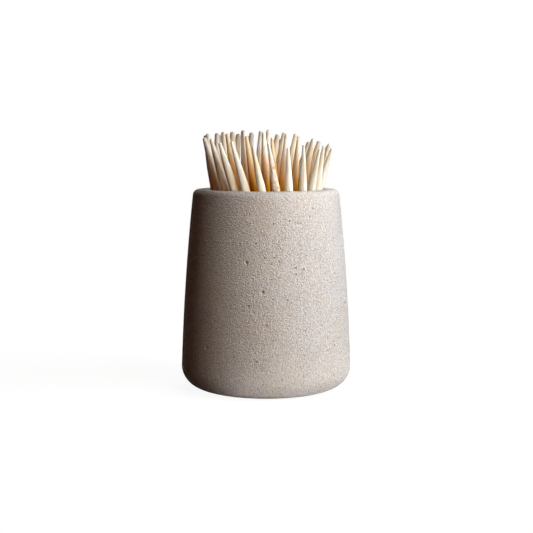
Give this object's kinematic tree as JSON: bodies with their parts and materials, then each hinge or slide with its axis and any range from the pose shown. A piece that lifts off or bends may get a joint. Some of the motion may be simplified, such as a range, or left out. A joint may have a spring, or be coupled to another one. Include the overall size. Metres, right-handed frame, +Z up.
{
  "type": "toothpick holder",
  "caption": "Turned stoneware cup, a little narrower at the mouth, filled with loose round wooden toothpicks that fan out over its rounded rim.",
  "frame": {"origin": "centre of the foot ring's face, on the cup's axis", "axes": "+Z up along the cup's axis; the side that the picture shows faces -Y"},
  "size_m": [0.046, 0.046, 0.0691],
  "materials": {
    "stoneware": "matt, unglazed, with a fine sandy grain",
    "wood": "plain, smooth"
  },
  "bodies": {
    "cup": {"holder": "stoneware"},
    "toothpick_01": {"toothpick_01": "wood"},
    "toothpick_02": {"toothpick_02": "wood"},
    "toothpick_03": {"toothpick_03": "wood"},
    "toothpick_04": {"toothpick_04": "wood"},
    "toothpick_05": {"toothpick_05": "wood"},
    "toothpick_06": {"toothpick_06": "wood"},
    "toothpick_07": {"toothpick_07": "wood"},
    "toothpick_08": {"toothpick_08": "wood"},
    "toothpick_09": {"toothpick_09": "wood"},
    "toothpick_10": {"toothpick_10": "wood"},
    "toothpick_11": {"toothpick_11": "wood"},
    "toothpick_12": {"toothpick_12": "wood"},
    "toothpick_13": {"toothpick_13": "wood"},
    "toothpick_14": {"toothpick_14": "wood"},
    "toothpick_15": {"toothpick_15": "wood"},
    "toothpick_16": {"toothpick_16": "wood"},
    "toothpick_17": {"toothpick_17": "wood"},
    "toothpick_18": {"toothpick_18": "wood"},
    "toothpick_19": {"toothpick_19": "wood"},
    "toothpick_20": {"toothpick_20": "wood"},
    "toothpick_21": {"toothpick_21": "wood"},
    "toothpick_22": {"toothpick_22": "wood"},
    "toothpick_23": {"toothpick_23": "wood"},
    "toothpick_24": {"toothpick_24": "wood"},
    "toothpick_25": {"toothpick_25": "wood"},
    "toothpick_26": {"toothpick_26": "wood"},
    "toothpick_27": {"toothpick_27": "wood"},
    "toothpick_28": {"toothpick_28": "wood"},
    "toothpick_29": {"toothpick_29": "wood"},
    "toothpick_30": {"toothpick_30": "wood"},
    "toothpick_31": {"toothpick_31": "wood"},
    "toothpick_32": {"toothpick_32": "wood"},
    "toothpick_33": {"toothpick_33": "wood"},
    "toothpick_34": {"toothpick_34": "wood"},
    "toothpick_35": {"toothpick_35": "wood"},
    "toothpick_36": {"toothpick_36": "wood"},
    "toothpick_37": {"toothpick_37": "wood"},
    "toothpick_38": {"toothpick_38": "wood"},
    "toothpick_39": {"toothpick_39": "wood"},
    "toothpick_40": {"toothpick_40": "wood"},
    "toothpick_41": {"toothpick_41": "wood"},
    "toothpick_42": {"toothpick_42": "wood"},
    "toothpick_43": {"toothpick_43": "wood"}
  },
  "joints": [
    {"name": "toothpick_01_slide", "type": "slide", "parent": "cup", "child": "toothpick_01", "axis": [-0.269, -0.1484, 0.9516], "range_m": [0, 0.07]},
    {"name": "toothpick_02_slide", "type": "slide", "parent": "cup", "child": "toothpick_02", "axis": [-0.1826, -0.3085, 0.9335], "range_m": [0, 0.07]},
    {"name": "toothpick_03_slide", "type": "slide", "parent": "cup", "child": "toothpick_03", "axis": [-0.1587, -0.287, 0.9447], "range_m": [0, 0.07]},
    {"name": "toothpick_04_slide", "type": "slide", "parent": "cup", "child": "toothpick_04", "axis": [-0.0268, -0.3764, 0.9261], "range_m": [0, 0.07]},
    {"name": "toothpick_05_slide", "type": "slide", "parent": "cup", "child": "toothpick_05", "axis": [-0.0001, -0.349, 0.9371], "range_m": [0, 0.07]},
    {"name": "toothpick_06_slide", "type": "slide", "parent": "cup", "child": "toothpick_06", "axis": [0.1622, -0.3537, 0.9212], "range_m": [0, 0.07]},
    {"name": "toothpick_07_slide", "type": "slide", "parent": "cup", "child": "toothpick_07", "axis": [0.1443, -0.3285, 0.9334], "range_m": [0, 0.07]},
    {"name": "toothpick_08_slide", "type": "slide", "parent": "cup", "child": "toothpick_08", "axis": [0.2886, -0.2545, 0.923], "range_m": [0, 0.07]},
    {"name": "toothpick_09_slide", "type": "slide", "parent": "cup", "child": "toothpick_09", "axis": [0.2507, -0.2279, 0.9408], "range_m": [0, 0.07]},
    {"name": "toothpick_10_slide", "type": "slide", "parent": "cup", "child": "toothpick_10", "axis": [0.3473, -0.0884, 0.9336], "range_m": [0, 0.07]},
    {"name": "toothpick_11_slide", "type": "slide", "parent": "cup", "child": "toothpick_11", "axis": [0.2768, -0.1208, 0.9533], "range_m": [0, 0.07]},
    {"name": "toothpick_12_slide", "type": "slide", "parent": "cup", "child": "toothpick_12", "axis": [0.3106, 0.0564, 0.9489], "range_m": [0, 0.07]},
    {"name": "toothpick_13_slide", "type": "slide", "parent": "cup", "child": "toothpick_13", "axis": [0.2676, 0.0094, 0.9635], "range_m": [0, 0.07]},
    {"name": "toothpick_14_slide", "type": "slide", "parent": "cup", "child": "toothpick_14", "axis": [0.2221, 0.1559, 0.9625], "range_m": [0, 0.07]},
    {"name": "toothpick_15_slide", "type": "slide", "parent": "cup", "child": "toothpick_15", "axis": [0.1968, 0.0968, 0.9756], "range_m": [0, 0.07]},
    {"name": "toothpick_16_slide", "type": "slide", "parent": "cup", "child": "toothpick_16", "axis": [0.0822, 0.2158, 0.973], "range_m": [0, 0.07]},
    {"name": "toothpick_17_slide", "type": "slide", "parent": "cup", "child": "toothpick_17", "axis": [0.0942, 0.1542, 0.9835], "range_m": [0, 0.07]},
    {"name": "toothpick_18_slide", "type": "slide", "parent": "cup", "child": "toothpick_18", "axis": [-0.0612, 0.197, 0.9785], "range_m": [0, 0.07]},
    {"name": "toothpick_19_slide", "type": "slide", "parent": "cup", "child": "toothpick_19", "axis": [-0.0183, 0.1657, 0.986], "range_m": [0, 0.07]},
    {"name": "toothpick_20_slide", "type": "slide", "parent": "cup", "child": "toothpick_20", "axis": [-0.1695, 0.1356, 0.9762], "range_m": [0, 0.07]},
    {"name": "toothpick_21_slide", "type": "slide", "parent": "cup", "child": "toothpick_21", "axis": [-0.1333, 0.1325, 0.9822], "range_m": [0, 0.07]},
    {"name": "toothpick_22_slide", "type": "slide", "parent": "cup", "child": "toothpick_22", "axis": [-0.2577, 0.0142, 0.9661], "range_m": [0, 0.07]},
    {"name": "toothpick_23_slide", "type": "slide", "parent": "cup", "child": "toothpick_23", "axis": [-0.2777, 0.0045, 0.9607], "range_m": [0, 0.07]},
    {"name": "toothpick_24_slide", "type": "slide", "parent": "cup", "child": "toothpick_24", "axis": [-0.2874, -0.1542, 0.9453], "range_m": [0, 0.07]},
    {"name": "toothpick_25_slide", "type": "slide", "parent": "cup", "child": "toothpick_25", "axis": [-0.1472, -0.189, 0.9709], "range_m": [0, 0.07]},
    {"name": "toothpick_26_slide", "type": "slide", "parent": "cup", "child": "toothpick_26", "axis": [-0.0487, -0.2596, 0.9645], "range_m": [0, 0.07]},
    {"name": "toothpick_27_slide", "type": "slide", "parent": "cup", "child": "toothpick_27", "axis": [0.0847, -0.2678, 0.9597], "range_m": [0, 0.07]},
    {"name": "toothpick_28_slide", "type": "slide", "parent": "cup", "child": "toothpick_28", "axis": [0.1986, -0.203, 0.9588], "range_m": [0, 0.07]},
    {"name": "toothpick_29_slide", "type": "slide", "parent": "cup", "child": "toothpick_29", "axis": [0.2495, -0.1013, 0.9631], "range_m": [0, 0.07]},
    {"name": "toothpick_30_slide", "type": "slide", "parent": "cup", "child": "toothpick_30", "axis": [0.233, 0.0204, 0.9723], "range_m": [0, 0.07]},
    {"name": "toothpick_31_slide", "type": "slide", "parent": "cup", "child": "toothpick_31", "axis": [0.1664, 0.0938, 0.9816], "range_m": [0, 0.07]},
    {"name": "toothpick_32_slide", "type": "slide", "parent": "cup", "child": "toothpick_32", "axis": [0.0593, 0.1362, 0.9889], "range_m": [0, 0.07]},
    {"name": "toothpick_33_slide", "type": "slide", "parent": "cup", "child": "toothpick_33", "axis": [-0.0417, 0.1216, 0.9917], "range_m": [0, 0.07]},
    {"name": "toothpick_34_slide", "type": "slide", "parent": "cup", "child": "toothpick_34", "axis": [-0.1231, 0.066, 0.9902], "range_m": [0, 0.07]},
    {"name": "toothpick_35_slide", "type": "slide", "parent": "cup", "child": "toothpick_35", "axis": [-0.1813, -0.0544, 0.9819], "range_m": [0, 0.07]},
    {"name": "toothpick_36_slide", "type": "slide", "parent": "cup", "child": "toothpick_36", "axis": [-0.041, -0.1569, 0.9868], "range_m": [0, 0.07]},
    {"name": "toothpick_37_slide", "type": "slide", "parent": "cup", "child": "toothpick_37", "axis": [0.0709, -0.1745, 0.9821], "range_m": [0, 0.07]},
    {"name": "toothpick_38_slide", "type": "slide", "parent": "cup", "child": "toothpick_38", "axis": [0.159, -0.0946, 0.9827], "range_m": [0, 0.07]},
    {"name": "toothpick_39_slide", "type": "slide", "parent": "cup", "child": "toothpick_39", "axis": [0.152, 0.0191, 0.9882], "range_m": [0, 0.07]},
    {"name": "toothpick_40_slide", "type": "slide", "parent": "cup", "child": "toothpick_40", "axis": [0.0557, 0.087, 0.9947], "range_m": [0, 0.07]},
    {"name": "toothpick_41_slide", "type": "slide", "parent": "cup", "child": "toothpick_41", "axis": [-0.0553, 0.0543, 0.997], "range_m": [0, 0.07]},
    {"name": "toothpick_42_slide", "type": "slide", "parent": "cup", "child": "toothpick_42", "axis": [-0.0998, -0.0559, 0.9934], "range_m": [0, 0.07]},
    {"name": "toothpick_43_slide", "type": "slide", "parent": "cup", "child": "toothpick_43", "axis": [0.0351, -0.0468, 0.9983], "range_m": [0, 0.07]}
  ]
}
